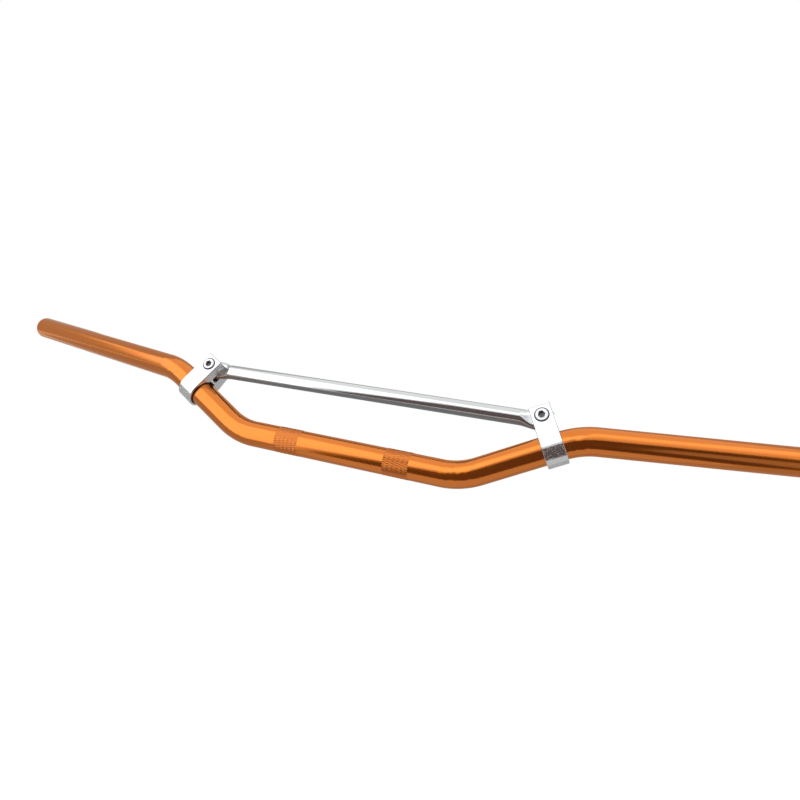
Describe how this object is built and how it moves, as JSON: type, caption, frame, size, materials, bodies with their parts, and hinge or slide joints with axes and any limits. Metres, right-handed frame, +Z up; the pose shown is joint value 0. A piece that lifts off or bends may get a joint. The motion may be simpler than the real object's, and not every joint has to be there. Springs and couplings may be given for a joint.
{
  "type": "motocross handlebar",
  "caption": "Wide bent tubular handlebar with knurled clamping bands and a straight crossbar whose flattened ends are bolted into slotted clamps.",
  "frame": {"origin": "on the tube's axis, in the middle of the straight stretch between the two knurled bands", "axes": "+X along the bar, +Y back towards the rider (the grips sweep to +Y), +Z up from the middle stretch to the crossbar"},
  "size_m": [0.834, 0.081, 0.095],
  "materials": {
    "anodised_tube": "orange anodised, glossy",
    "polished_crossbar": "polished",
    "polished_clamps": "machined and polished",
    "plated_screws": "bright zinc plated"
  },
  "bodies": {
    "root": {"handlebar_tube": "anodised_tube", "crossbar": "polished_crossbar", "left_clamp": "polished_clamps", "right_clamp": "polished_clamps", "left_screw": "plated_screws", "right_screw": "plated_screws"}
  },
  "joints": []
}
